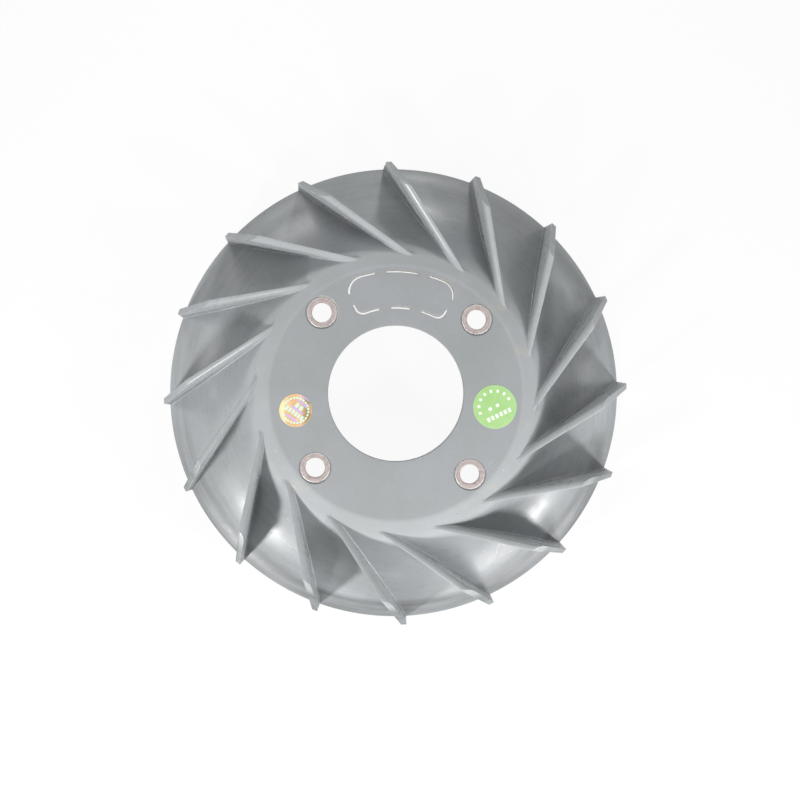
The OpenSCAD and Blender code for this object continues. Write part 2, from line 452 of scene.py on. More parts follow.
def wheelFront():
    # the front surface as a closed grid: rows are circles, columns run out along the blades
    y, xs, zs, reach, meet, turn = bladeLines(blade)
    nBlade = xs.shape[0]
    nCol = nBlade - 1 + cells["channel"]
    pitch = 2 * math.pi / blade["count"]
    radii = rowRadii(rows)
    # how far each circle bends to follow the edge between the crown and the tip land
    gather = np.where(
        radii < blade["peakR"],
        np.clip((radii - rows["gatherFrom"]) / (blade["peakR"] - rows["gatherFrom"]), 0, 1) ** 2,
        np.clip((radii[-1] - radii) / (radii[-1] - rows["land"][0]), 0, 1),
    )
    shift = meet - meet[0]
    grid = np.zeros((len(radii), nCol, 3))
    for t, r in enumerate(radii):
        rs = r + shift * gather[t]
        for s in range(nBlade):
            py = np.interp(rs[s], reach[s], y)
            px = np.interp(rs[s], reach[s], xs[s])
            pz = np.interp(rs[s], reach[s], zs[s])
            grid[t, s] = (rs[s], math.atan2(py, px), pz)
        a, b = grid[t, nBlade - 1], grid[t, 0]
        for c in range(1, cells["channel"]):
            f = c / cells["channel"]
            rr = a[0] + (b[0] - a[0]) * f
            grid[t, nBlade - 1 + c] = (rr, a[1] + (b[1] + pitch - a[1]) * f, shellTop(rr))
    # inside the blades the columns fan out to an even spacing
    inward = np.array(rows["face"]) + wheel["faceR"]
    even = np.arange(nCol) * pitch / nCol
    even += np.mean(grid[0, :, 1] - even)
    inner = np.zeros((len(inward), nCol, 3))
    for t, r in enumerate(inward):
        f = smoothStep((r - inward[0]) / (radii[0] - inward[0]))
        inner[t, :, 0] = r
        inner[t, :, 1] = even + (grid[0, :, 1] - even) * f
        inner[t, :, 2] = shellTop(r)
    grid = np.concatenate([inner, grid])
    whole = np.concatenate([grid + np.array([0, k * pitch, 0]) for k in range(blade["count"])], axis=1)
    reach, angle, height = whole[..., 0], whole[..., 1] + turn, whole[..., 2]
    pts = np.stack([reach * np.cos(angle), reach * np.sin(angle), height], axis=-1)
    # the last rows round the outer edge
    base = pts[-1]
    along = np.roll(base, -1, axis=0) - np.roll(base, 1, axis=0)
    outward = np.concatenate([base[:, :2], np.zeros((len(base), 1))], axis=1)
    outward /= np.linalg.norm(outward, axis=1)[:, None]
    normal = np.cross(outward, along)
    normal /= np.linalg.norm(normal, axis=1)[:, None]
    extra = []
    for r, inset in ((wheel["rimR"] - 0.045, 0.045), (wheel["rimR"], wheel["rimSoft"])):
        p = base - normal * inset
        p[:, :2] *= (r / np.hypot(p[:, 0], p[:, 1]))[:, None]
        extra.append(p[None])
    return np.concatenate([pts] + extra), nBlade, nCol


def loopFaces(a, b):
    # quads between two closed rings of point numbers
    n = len(a)
    return [(a[i], a[(i + 1) % n], b[(i + 1) % n], b[i]) for i in range(n)]


def hollowProfile():
    # the back of the shell, from the rim in to the hub's back, as (radius, height)
    w, a = wheel, arcs
    back = w["hubH"] - w["plate"]
    lipR = w["lipR"] - w["wall"]
    flareR = a["flareR"] + w["wall"]
    shoulderR = w["shoulderR"] - w["wall"]
    centre = a["shoulderC"]
    pts = []
    r0 = a["lipC"][0] + math.sqrt(lipR ** 2 - a["lipC"][1] ** 2)
    r1 = a["lipC"][0] + lipR * a["lipDir"][0]
    for r in np.linspace(r0, r1, 7):
        pts.append((r, a["lipC"][1] + math.sqrt(lipR ** 2 - (r - a["lipC"][0]) ** 2)))
    r2 = centre[0] + shoulderR * a["toFlare"][0]
    for r in np.linspace(r1, r2, 15)[1:]:
        pts.append((r, a["flareC"][1] - math.sqrt(flareR ** 2 - (r - a["flareC"][0]) ** 2)))
    angle0 = math.atan2(a["toFlare"][1], a["toFlare"][0])
    angle1 = math.asin((back - centre[1]) / shoulderR)
    for t in np.linspace(angle0, angle1, 5)[1:]:
        pts.append((centre[0] + shoulderR * math.cos(t), centre[1] + shoulderR * math.sin(t)))
    return pts


def arcPoints(centreR, centreA, r, start, stop, steps):
    # an arc round a centre given by its radius and angle about the axis
    pts = []
    for i in range(steps + 1):
        t = start + (stop - start) * i / steps
        pts.append((centreR * cosD(centreA) + r * cosD(t), centreR * sinD(centreA) + r * sinD(t)))
    return pts


def slitLoops(p):
    # outlines of the slits round the knock-out panel, each a closed loop of points
    mid = p["slit"] / 2
    outC, inC = p["outR"] - p["cornerOut"], p["inR"] + p["cornerIn"]
    outA = p["half"] - math.degrees(math.asin(p["cornerOut"] / outC))
    inA = p["half"] - math.degrees(math.asin(p["cornerIn"] / inC))
    outR, inR = p["cornerOut"] - mid, p["cornerIn"] - mid
    path = (
        arcPoints(0, 0, p["outR"] - mid, -outA, outA, 60)[:-1]
        + arcPoints(outC, outA, outR, outA, 90 + p["half"], 14)
        + arcPoints(inC, inA, inR, 90 + p["half"], 180 + inA, 10)[:-1]
        + arcPoints(0, 0, p["inR"] + mid, inA, -inA, 40)[:-1]
        + arcPoints(inC, -inA, inR, 180 - inA, 270 - p["half"], 10)
        + arcPoints(outC, -outA, outR, -90 - p["half"], -outA, 14)[:-1]
    )
    path = np.array(path)
    # even steps round the outline
    steps = np.linalg.norm(np.roll(path, -1, axis=0) - path, axis=1)
    s = np.concatenate([[0], np.cumsum(steps)])
    closed = np.vstack([path, path[:1]])
    count = int(s[-1] / p["step"])
    at = np.arange(count) * s[-1] / count
    pts = np.stack([np.interp(at, s, closed[:, 0]), np.interp(at, s, closed[:, 1])], axis=1)
    # the webs: one halfway along each side and two across each long edge
    midR = (p["outR"] + p["inR"]) / 2
    cut = np.abs(np.hypot(pts[:, 0], pts[:, 1]) - midR) < p["web"] / 2
    for side in (-1, 1):
        d = (cosD(side * p["webAngle"]), sinD(side * p["webAngle"]))
        across = pts[:, 0] * -d[1] + pts[:, 1] * d[0]
        cut |= np.abs(across) < p["web"] / 2
    firstCut = int(np.argmax(cut))
    pts, cut = np.roll(pts, -firstCut, axis=0), np.roll(cut, -firstCut)
    runs, run = [], []
    for q, c in zip(pts, cut):
        if not c:
            run.append(q)
        elif run:
            runs.append(np.array(run))
            run = []
    if run:
        runs.append(np.array(run))
    return [slitOutline(p, run, number) for number, run in enumerate(runs)]


def slitEdge(p, run, number, edge):
    # half the slit's width along one of its edges, a little uneven
    scale, apart = p["waverScale"], 7.3 * edge + number
    waver = np.array([noise.noise(Vector((x * scale, y * scale, apart))) for x, y in run])
    return p["slit"] / 2 + p["waver"] * waver


def slitOutline(p, run, number):
    # closed outline of one slit about its middle line
    along = np.gradient(run, axis=0)
    along /= np.linalg.norm(along, axis=1)[:, None]
    side = np.stack([-along[:, 1], along[:, 0]], axis=1)
    # the ends are drawn in, and end in a short point
    fromEnd = np.minimum(np.arange(len(run)), np.arange(len(run))[::-1]) * p["step"]
    shrink = 1 - p["pinch"] * np.clip(1 - fromEnd / 0.4, 0, 1) ** 2
    left = run + side * (slitEdge(p, run, number, 1) * shrink)[:, None]
    right = run - side * (slitEdge(p, run, number, 2) * shrink)[:, None]
    tipA = run[-1] + along[-1] * p["tip"]
    tipB = run[0] - along[0] * p["tip"]
    loop = np.vstack([left, tipA[None], right[::-1], tipB[None]])
    turn = math.radians(p["turn"])
    spin = np.array([[math.cos(turn), math.sin(turn)], [-math.sin(turn), math.cos(turn)]])
    return loop @ spin


def grownLoop(loop, by):
    # the loop moved outwards
    after, before = np.roll(loop, -1, axis=0), np.roll(loop, 1, axis=0)
    along = after - before
    along /= np.linalg.norm(along, axis=1)[:, None]
    side = np.stack([along[:, 1], -along[:, 0]], axis=1)
    area = 0.5 * np.sum(loop[:, 0] * after[:, 1] - after[:, 0] * loop[:, 1])
    return loop + side * by * (1 if area > 0 else -1)


def insideLoop(q, loop):
    # counts how often a line from the point crosses the loop
    x, y = q
    x0, y0 = loop[:, 0], loop[:, 1]
    x1, y1 = np.roll(x0, -1), np.roll(y0, -1)
    crosses = (y0 > y) != (y1 > y)
    with np.errstate(divide="ignore", invalid="ignore"):
        xs = (x1 - x0) * (y - y0) / (y1 - y0) + x0
    return bool(np.count_nonzero(crosses & (x < xs)) % 2)


def isNear(q, loop, gap=1.2):
    return np.min(np.hypot(*(loop - q).T)) < gap or insideLoop(q, loop)


class MeshParts:
    def __init__(self):
        self.points = []
        self.faces = []

    def ring(self, pts):
        start = len(self.points)
        self.points += [tuple(map(float, q)) for q in pts]
        return list(range(start, len(self.points)))

    def plate(self, z, outer, holes, spots):
        # flat face at one height between an outer loop and holes, all given as 2-D loops
        flat, edges = [], []
        for loop in [outer] + holes:
            start = len(flat)
            flat += [tuple(map(float, q)) for q in loop]
            n = len(loop)
            edges += [(start + i, start + (i + 1) % n) for i in range(n)]
        flat += spots
        got = delaunay_2d_cdt([Vector(q) for q in flat], edges, [], 0, 1e-6)
        verts = self.ring([(q[0], q[1], z) for q in got[0]])
        pts = [np.array(q) for q in got[0]]
        for f in got[2]:
            mid = sum(pts[i] for i in f) / len(f)
            if insideLoop(mid, outer) and not any(insideLoop(mid, h) for h in holes):
                self.faces.append(tuple(verts[i] for i in f))

    def strip(self, rings):
        for a, b in zip(rings, rings[1:]):
            self.faces += loopFaces(a, b)

    def build(self, name):
        mesh = bpy.data.meshes.new(name)
        mesh.from_pydata([tuple(c * mm for c in q) for q in self.points], [], self.faces)
        bm = bmesh.new()
        bm.from_mesh(mesh)
        bmesh.ops.remove_doubles(bm, verts=bm.verts, dist=2e-6)
        bmesh.ops.dissolve_degenerate(bm, dist=1e-7, edges=bm.edges)
        bmesh.ops.recalc_face_normals(bm, faces=bm.faces)
        openEdges = [e for e in bm.edges if not e.is_manifold]
        print(name, "faces", len(bm.faces), "open or shared edges", len(openEdges))
        bm.to_mesh(mesh)
        bm.free()
        mesh.update()
        return mesh


def circle(r, z, n, centre=(0.0, 0.0)):
    a = np.arange(n) * 2 * math.pi / n
    return np.stack([centre[0] + r * np.cos(a), centre[1] + r * np.sin(a), np.full(n, z)], axis=1)


def finishMesh(obj, sharp=50):
    obj.data.polygons.foreach_set("use_smooth", [True] * len(obj.data.polygons))
    obj.data.set_sharp_from_angle(angle=math.radians(sharp))
    mod = obj.modifiers.new("evenShading", "WEIGHTED_NORMAL")
    mod.keep_sharp = True
    mod.weight = 70


def addObject(name, mesh):
    obj = bpy.data.objects.new(name, mesh)
    scene.collection.objects.link(obj)
    return obj


def addBladeEnds(parts, rim, nBlade, nCol):
    # end faces of the blades, flush with the rim
    flank = cells["rootOut"] + cells["faceOut"]
    for k in range(blade["count"]):
        c = [rim[k * nCol + s] for s in range(nBlade)]
        for i in range(flank - 1):
            parts.faces.append((c[i], c[i + 1], c[nBlade - 2 - i], c[nBlade - 1 - i]))
        parts.faces.append(tuple(c[flank - 1:nBlade - flank + 1]))


def addHollow(parts, rim, rimPoints, nBlade, nCol):
    # the rim's outer wall, its bottom and the hollow back, and then the outline of the plate's back
    outR = wheel["rimR"]
    keep = []
    for k in range(blade["count"]):
        keep += [k * nCol] + [k * nCol + s for s in range(nBlade - 1, nCol)]
    angle = np.array([math.atan2(rimPoints[i][1], rimPoints[i][0]) for i in keep])
    x, y = np.cos(angle), np.sin(angle)
    hollow = hollowProfile()
    profile = [(outR, 0.35), (outR - 0.1, 0.1), (outR - 0.35, 0.0)]
    profile += [(hollow[0][0] + 0.3, 0.0), (hollow[0][0] + 0.05, 0.08)] + hollow[1:]
    rings = [[rim[i] for i in keep]]
    for r, z in profile:
        rings.append(parts.ring(np.stack([r * x, r * y, np.full(len(angle), z)], axis=1)))
    parts.strip(rings)
    return np.stack([hollow[-1][0] * x, hollow[-1][0] * y], axis=1)


def addBore(parts, back):
    # the bore with softened edges
    r, top, soft, n = wheel["boreR"], wheel["hubH"], wheel["boreSoft"], wheel["boreSteps"]
    upper = [(r + soft, top), (r + 0.1, top - 0.1), (r, top - soft)]
    lower = [(r, back + soft), (r + 0.1, back + 0.1), (r + soft, back)]
    parts.strip([parts.ring(circle(radius, z, n)) for radius, z in upper + lower])
    return circle(r + soft, 0, n)[:, :2]


def addSeats(parts, back):
    # the seats of the bushes, each with a groove round its mouth
    w, n = wheel, wheel["seatSteps"]
    r, top, floor = w["grooveR"], w["hubH"], w["hubH"] - w["grooveDepth"]
    profile = [(r + 0.12, top), (r + 0.03, top - 0.04), (r, top - 0.14)]
    profile += [(r - 0.06, floor), (w["seatR"], floor), (w["seatR"], back)]
    mouths, backs = [], []
    for i in range(w["boltCount"]):
        centre = boltPlace(i)
        parts.strip([parts.ring(circle(radius, z, n, centre)) for radius, z in profile])
        mouths.append(circle(profile[0][0], 0, n, centre)[:, :2])
        backs.append(circle(w["seatR"], 0, n, centre)[:, :2])
    return mouths, backs


def addSlits(parts, back):
    # the slits of the panel, a little wider at the front and the back
    top, soft = wheel["hubH"], panel["round"]
    mouths = []
    for loop in slitLoops(panel):
        wide = grownLoop(loop, soft)
        stack = ((wide, top), (loop, top - soft), (loop, back + soft), (wide, back))
        parts.strip([parts.ring(np.column_stack([ring, np.full(len(loop), z)])) for ring, z in stack])
        mouths.append(wide)
    return mouths


def plateSpots(openings):
    # points spread over the plate, clear of its openings
    spots = []
    for r, n in wheel["spread"]:
        for q in circle(r, 0, n)[:, :2]:
            if not any(isNear(q, loop) for loop in openings):
                spots.append(tuple(map(float, q)))
    return spots


def makeWheel():
    top = wheel["hubH"]
    back = top - wheel["plate"]
    parts = MeshParts()
    front, nBlade, nCol = wheelFront()
    rings = [parts.ring(row) for row in front]
    parts.strip(rings)
    addBladeEnds(parts, rings[-1], nBlade, nCol)
    backEdge = addHollow(parts, rings[-1], front[-1], nBlade, nCol)
    bore = addBore(parts, back)
    mouths, backs = addSeats(parts, back)
    slits = addSlits(parts, back)
    spots = plateSpots(slits + mouths)
    parts.plate(top, front[0][:, :2], [bore] + mouths + slits, spots)
    parts.plate(back, backEdge, [bore] + backs + slits, spots)
    obj = addObject("fanWheel", parts.build("fanWheel"))
    finishMesh(obj)
    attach(obj, "root")
    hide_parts("fan_wheel")
    print("wheel triangles", sum(len(p.vertices) - 2 for p in obj.data.polygons))
    return obj


fan = makeWheel()


bush = {
    "outR": 7.0,  # mm
    "holeR": 4.5,
    "recess": 0.3,
    "rounding": 0.55,  # outer edge on the front
    "chamfer": 0.3,
    "steps": 96,  # points round it
}


def lathe(name, profile, centre, steps):
    # a closed profile of (radius, height) turned about an upright line
    parts = MeshParts()
    rings = [parts.ring(circle(r, z, steps, centre)) for r, z in profile]
    parts.strip(rings + rings[:1])
    return addObject(name, parts.build(name))


def makeBushes(p):
    top = wheel["hubH"] - p["recess"]
    back = wheel["hubH"] - wheel["plate"]
    rim = [
        (p["outR"] - p["rounding"] * (1 - cosD(a)), top - p["rounding"] * (1 - sinD(a)))
        for a in range(0, 91, 15)
    ]
    inner = [
        (p["holeR"] + p["chamfer"] * k, top - p["chamfer"] * (1 - k) ** 2)
        for k in (1.0, 0.75, 0.5, 0.25, 0.0)
    ]
    foot = [
        (p["holeR"], back + p["chamfer"]),
        (p["holeR"] + p["chamfer"], back),
        (p["outR"] - p["chamfer"], back),
        (p["outR"], back + p["chamfer"]),
    ]
    flat = [(p["outR"] - p["rounding"] - 0.35, top), (p["holeR"] + p["chamfer"] + 0.5, top)]
    made = []
    for i in range(wheel["boltCount"]):
        obj = lathe(f"bush{i + 1}", rim + flat + inner + foot, boltPlace(i), p["steps"])
        finishMesh(obj, 35)
        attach(obj, "root")
        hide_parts(f"bush_{i + 1}")
        made.append(obj)
    return made


bushes = makeBushes(bush)
print("bushes made")


label = {
    "foil": {"node": "foil_label", "slot": "foil", "r": 7.5, "radius": 46.3, "angle": 189.6},
    "green": {"node": "green_label", "slot": "green_paper", "r": 10.0, "radius": 45.6, "angle": -7.7},
    "thick": 0.15,  # mm
    "lift": 0.03,  # unevenness of the film
    "steps": 96,  # points round it
}


def makeLabel(name, p):
    q = p[name]
    centre = polar(q["radius"], q["angle"])
    z = wheel["hubH"]
    parts = MeshParts()
    # the film's top, then its rounded edge
    radii = np.concatenate([np.linspace(0.6, q["r"] - 0.5, 13), [q["r"] - 0.25, q["r"] - 0.1]])
    rings = []
    for r in radii:
        pts = circle(r, z + p["thick"], p["steps"], centre)
        bulge = [p["lift"] * noise.noise(Vector((x * 0.45, y * 0.45, 3.1 + q["r"]))) for x, y, _ in pts]
        fade = min(1.0, (q["r"] - r) / 1.5)
        pts[:, 2] += np.array(bulge) * fade - p["lift"] * 0.5 * fade
        rings.append(parts.ring(pts))
    for dr, h in ((0.03, 0.13), (0.0, 0.09), (0.0, 0.0)):
        rings.append(parts.ring(circle(q["r"] - dr, z + h, p["steps"], centre)))
    parts.strip(rings)
    parts.faces.append(tuple(rings[0]))
    parts.faces.append(tuple(reversed(rings[-1])))
    obj = addObject(name + "Label", parts.build(name + "Label"))
    finishMesh(obj, 35)
    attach(obj, "root")
    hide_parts(q["node"])
    return obj


foilLabel = makeLabel("foil", label)
greenLabel = makeLabel("green", label)
print("labels made")


def addMath(tree, operation, a, b=None, clamp=False):
    node = tree.nodes.new("ShaderNodeMath")
    node.operation = operation
    node.use_clamp = clamp
    for socket, value in zip(node.inputs, (a, b)):
        if value is None:
            continue
        if isinstance(value, (int, float)):
            socket.default_value = value
        else:
            tree.links.new(value, socket)
    return node.outputs[0]


def addProduct(tree, total, *others):
    for value in others:
        total = addMath(tree, "MULTIPLY", total, value)
    return total


def addSum(tree, total, *others):
    for value in others:
        total = addMath(tree, "ADD", total, value)
    return total


def addHighest(tree, total, *others):
    for value in others:
        total = addMath(tree, "MAXIMUM", total, value)
    return total


def addVector(tree, operation, a, b=None, scale=None):
    node = tree.nodes.new("ShaderNodeVectorMath")
    node.operation = operation
    for socket, value in zip(node.inputs, (a, b)):
        if value is None:
            continue
        if isinstance(value, tuple):
            socket.default_value = value
        else:
            tree.links.new(value, socket)
    if scale is not None:
        node.inputs["Scale"].default_value = scale
    return node.outputs["Value" if operation == "LENGTH" else "Vector"]


def addSplit(tree, vector):
    # the three parts of a vector
    node = tree.nodes.new("ShaderNodeSeparateXYZ")
    tree.links.new(vector, node.inputs[0])
    return list(node.outputs)


def addUpright(tree, value):
    # a vector along Z
    node = tree.nodes.new("ShaderNodeCombineXYZ")
    tree.links.new(value, node.inputs[2])
    return node.outputs[0]


def addStep(tree, value, start, end, low=0.0, high=1.0):
    # eases from low to high while the value goes from start to end
    node = tree.nodes.new("ShaderNodeMapRange")
    node.interpolation_type = "SMOOTHSTEP"
    tree.links.new(value, node.inputs["Value"])
    for name, number in (("From Min", start), ("From Max", end), ("To Min", low), ("To Max", high)):
        node.inputs[name].default_value = number
    return node.outputs["Result"]


def addNoise(tree, vector, scale, detail, rough, seed):
    # seed moves to another stretch of the same noise
    if seed:
        vector = addVector(tree, "ADD", vector, (seed * 37.0, seed * -19.0, seed * 53.0))
    node = tree.nodes.new("ShaderNodeTexNoise")
    tree.links.new(vector, node.inputs["Vector"])
    node.inputs["Scale"].default_value = scale
    node.inputs["Detail"].default_value = detail
    node.inputs["Roughness"].default_value = rough
    return node.outputs["Fac"]


def addLookNoise(tree, p, name, place, number=0):
    # a noise from a look's list, with a number added to its seed
    scale, detail, rough, seed = p["noises"][name]
    return addNoise(tree, place, scale, detail, rough, seed + number)


def addTint(tree, fac, a, b):
    # from colour a to colour b
    node = tree.nodes.new("ShaderNodeMix")
    node.data_type = "RGBA"
    tree.links.new(fac, node.inputs["Factor"])
    for socket, value in ((node.inputs[6], a), (node.inputs[7], b)):
        if isinstance(value, tuple):
            socket.default_value = (*value, 1)
        else:
            tree.links.new(value, socket)
    return node.outputs[2]


def addMapping(tree, place, middle, angle, size=(1.0, 1.0, 1.0)):
    # place as measured in a frame that is moved to a point, turned and sized
    node = tree.nodes.new("ShaderNodeMapping")
    node.vector_type = "TEXTURE"
    tree.links.new(place, node.inputs["Vector"])
    node.inputs["Location"].default_value = (*middle, 0)
    node.inputs["Rotation"].default_value = (0, 0, angle)
    node.inputs["Scale"].default_value = size
    return node.outputs[0]


def addHairs(tree, vector, scale, width, stretch, seed):
    # thin broken lines along one direction, from the level lines of a stretched noise
    slim = addVector(tree, "MULTIPLY", vector, stretch)
    level = addMath(tree, "SUBTRACT", addNoise(tree, slim, scale, 1.0, 0.4, seed), 0.5)
    line = addStep(tree, addMath(tree, "ABSOLUTE", level), 0.0, width, 1.0, 0.0)
    gate = addStep(tree, addNoise(tree, vector, scale * 1.7, 0.0, 0.5, seed + 3.0), 0.52, 0.62)
    return addProduct(tree, line, gate)


def addStrokes(tree, place, strokes, blunt=False):
    # mask of strokes given as (x1, y1, x2, y2, width, strength) in millimetres
    total = None
    for i, (x1, y1, x2, y2, width, strength) in enumerate(strokes):
        if i and i % 6 == 0:
            # each batch waits for the last, which keeps the shader's working memory small
            wait = addUpright(tree, addProduct(tree, total, 1e-6))
            place = addVector(tree, "ADD", place, wait)
        middle = ((x1 + x2) / 2, (y1 + y2) / 2)
        size = (math.hypot(x2 - x1, y2 - y1) / 2 + width * 0.4, width / 2, 1.0)
        local = addMapping(tree, place, middle, math.atan2(y2 - y1, x2 - x1), size)
        if blunt:
            x, y, _ = addSplit(tree, addVector(tree, "ABSOLUTE", local))
            mask = addStep(tree, addHighest(tree, x, y), 0.85, 1.15, strength, 0.0)
        else:
            mask = addStep(tree, addVector(tree, "LENGTH", local), 0.35, 1.15, strength, 0.0)
        total = mask if total is None else addHighest(tree, mask, total)
    return total


def newMaterial(name):
    mat = bpy.data.materials.new(name)
    mat.use_nodes = True
    tree = mat.node_tree
    tree.nodes.clear()
    out = tree.nodes.new("ShaderNodeOutputMaterial")
    shader = tree.nodes.new("ShaderNodeBsdfPrincipled")
    tree.links.new(shader.outputs[0], out.inputs[0])
    return mat, tree, shader


def placeInMm(tree, centre=(0.0, 0.0, 0.0)):
    # place in millimetres from a centre, with and without the height, and its radius
    coords = tree.nodes.new("ShaderNodeTexCoord").outputs["Object"]
    full = addVector(tree, "SUBTRACT", addVector(tree, "SCALE", coords, scale=1000.0), centre)
    flat = addVector(tree, "MULTIPLY", full, (1, 1, 0))
    return full, flat, addVector(tree, "LENGTH", flat)


def placeOnRings(tree, across, r, slow):
    # coordinates that run slowly round an axis and quickly away from it
    return addVector(tree, "ADD", addVector(tree, "SCALE", across, scale=slow), addUpright(tree, r))


def finishShader(tree, shader, colour, rough, height, relief):
    # relief is the height of the bumps in metres
    tree.links.new(colour, shader.inputs["Base Color"])
    tree.links.new(rough, shader.inputs["Roughness"])
    bump = tree.nodes.new("ShaderNodeBump")
    bump.inputs["Strength"].default_value = 1.0
    bump.inputs["Distance"].default_value = relief
    tree.links.new(height, bump.inputs["Height"])
    tree.links.new(bump.outputs[0], shader.inputs["Normal"])


plasticLook = {
    "dark": (0.354, 0.378, 0.38),  # greenish grey of the moulding
    "light": (0.42, 0.433, 0.45),  # slightly purple grey, in clouds
    "lipShade": 0.08,  # how much darker the lip is
    "lipLowerDarkening": 0.34,  # added to that on the lower half, growing towards the bottom of the fan
    "bandPaintedShade": 0.055,  # painted shade: how much darker the band and the hub are drawn, as the lamps light their flat top too brightly
    "hubPaintedShade": 0.12,  # more painted shade, added to that on the hub's flat face
    "slitEdge": (0.90, 0.84, 0.68),  # thin walls of the slits, painted light: pale cream in place of the light that shows through the slits
    "worn": (0.66, 0.655, 0.66),
    "cream": (0.52, 0.50, 0.40),
    "dirt": (0.10, 0.105, 0.10),
    "roughness": 0.29,
    "hubDull": 0.32,  # added to it on the hub and the band, and fading out over the shoulder
    "relief": 0.000022,  # metres, height of the mould's polish lines and pebble
    # each zone fades in while the radius goes from the first value to the second, mm
    "zones": {
        "shell": (66.0, 84.0),
        "lip": (96.0, 99.0),
        "hub": (67.0, 65.0),
        "face": (58.5, 57.0),
        "bandFrom": (56.0, 59.0),
        "bandTo": (66.0, 61.0),
        "slitFrom": (37.0, 37.8),
        "slitTo": (57.0, 56.4),
        "dull": (72.0, 65.0),
    },
    # noises of this and the other looks: size per mm, detail, roughness and seed
    "noises": {
        "clouds": (0.035, 3.0, 0.6, 0.0),
        "grain": (1.4, 3.0, 0.7, 1.0),
        "rings": (0.55, 2.0, 0.6, 2.0),
        "cream": (0.07, 2.0, 0.6, 5.0),
        "ragged": (2.2, 3.0, 0.7, 7.0),
        "specks": (0.9, 0.0, 0.5, 11.0),
        "smear": (0.11, 3.0, 0.6, 13.0),
        "polish": (0.9, 2.0, 0.6, 17.0),
        "pebble": (0.8, 2.0, 0.55, 19.0),
    },
    # two sets of hair scratches: size per mm, width, stretch along each axis and seed
    "hairs": ((0.55, 0.02, (1.0, 0.16, 1.0), 4.0), (0.5, 0.018, (0.2, 1.0, 1.0), 9.0)),
    # the two places with the most scratches, as strokes
    "rubbed": ((46.6, -76.4, 55.6, -73.6, 8.5, 1.0), (-57.0, -66.0, -47.0, -75.0, 9.0, 0.8)),
    # scuffs and scratches: x1, y1, x2, y2, width in mm and strength
    "scuffs": (
        (49.1, -70.4, 47.8, -72.6, 0.9, 0.8), (47.8, -72.6, 47.5, -76.2, 1.1, 0.8),
        (47.5, -76.2, 46.2, -79.4, 0.7, 0.7), (47.7, -77.0, 51.3, -75.3, 0.9, 0.5),
        (51.3, -75.3, 57.2, -73.0, 0.8, 0.5), (49.1, -70.4, 52.3, -71.3, 0.7, 0.6),
        (57.5, -57.9, 59.9, -57.2, 0.6, 0.5), (59.9, -57.2, 62.7, -57.5, 1.1, 0.6),
        (62.4, -57.4, 66.5, -60.4, 1.2, 0.45), (67.3, -61.0, 69.8, -62.7, 0.8, 0.3),
        (40.6, -73.0, 42.3, -74.5, 0.45, 0.8), (38.5, -81.6, 39.4, -83.1, 0.45, 0.8),
        (31.8, -70.0, 34.4, -71.1, 0.3, 0.4), (34.4, -71.1, 38.0, -70.4, 0.3, 0.4),
        (55.1, -64.3, 55.6, -66.3, 0.5, 0.5), (41.4, -33.4, 44.9, -30.4, 0.3, 0.35),
        (42.8, -37.4, 45.2, -36.5, 0.3, 0.35), (41.0, -33.1, 42.0, -35.0, 0.28, 0.45),
        (48.9, -34.8, 49.7, -35.4, 0.5, 0.7), (30.4, -52.3, 32.7, -52.1, 0.4, 0.6),
        (-77.1, -38.4, -76.1, -37.2, 0.35, 0.5), (-50.6, -57.8, -48.3, -59.1, 0.4, 0.8),
        (-47.9, -41.7, -44.9, -43.4, 0.5, 0.5), (-55.7, -25.3, -54.2, -26.8, 0.4, 0.7),
        (-54.2, -29.3, -53.4, -30.3, 0.35, 0.5), (-55.5, -31.4, -55.1, -32.8, 0.3, 0.35),
        (-54.7, -56.3, -54.5, -56.9, 0.5, 0.8), (-54.2, -64.5, -52.3, -64.3, 0.3, 0.6),
        (-50.1, -73.9, -48.1, -71.0, 0.35, 0.5), (-58.9, -63.3, -57.5, -61.6, 0.5, 0.6),
        (53.5, -21.7, 54.1, -22.6, 0.3, 0.4), (32.0, -50.5, 32.8, -51.3, 0.35, 0.4),
        (-34.6, -9.3, -34.1, -9.0, 0.5, 0.35),
    ),
    # dark pits and specks: the same, as good as round
    "pits": (
        (85.9, -27.1, 86.0, -27.1, 0.55, 0.6), (54.7, -54.2, 54.8, -54.2, 0.5, 0.6),
        (-69.0, 77.2, -68.6, 77.6, 0.5, 0.8), (-61.1, 83.8, -60.6, 84.1, 0.5, 0.8),
        (-100.7, 20.6, -100.6, 20.6, 0.4, 0.5), (-93.7, 43.0, -93.6, 43.0, 0.4, 0.5),
        (24.7, -36.3, 24.8, -36.3, 0.35, 0.6), (19.2, -43.6, 19.3, -43.5, 0.35, 0.6),
        (47.9, -75.9, 48.0, -75.9, 0.5, 0.5),
    ),
}


def plasticPlaces(tree, p):
    # the places and zones that the colour, the wear, the gloss and the relief share
    full, flat, r = placeInMm(tree)
    across = addVector(tree, "NORMALIZE", flat)
    at = {"full": full, "flat": flat, "r": r, "rings": placeOnRings(tree, across, r, 5.0)}
    at["north"] = addSplit(tree, across)[1]
    geometry = tree.nodes.new("ShaderNodeNewGeometry")
    facing = addSplit(tree, geometry.outputs["True Normal"])[2]
    at["front"] = addStep(tree, facing, 0.05, 0.4)
    at["upright"] = addMath(tree, "ABSOLUTE", facing)
    for name in ("shell", "lip"):
        at[name] = addProduct(tree, addStep(tree, r, *p["zones"][name]), at["front"])
    at["ringTone"] = addLookNoise(tree, p, "rings", at["rings"])
    at["ringSwing"] = addMath(tree, "SUBTRACT", at["ringTone"], 0.5)
    return at


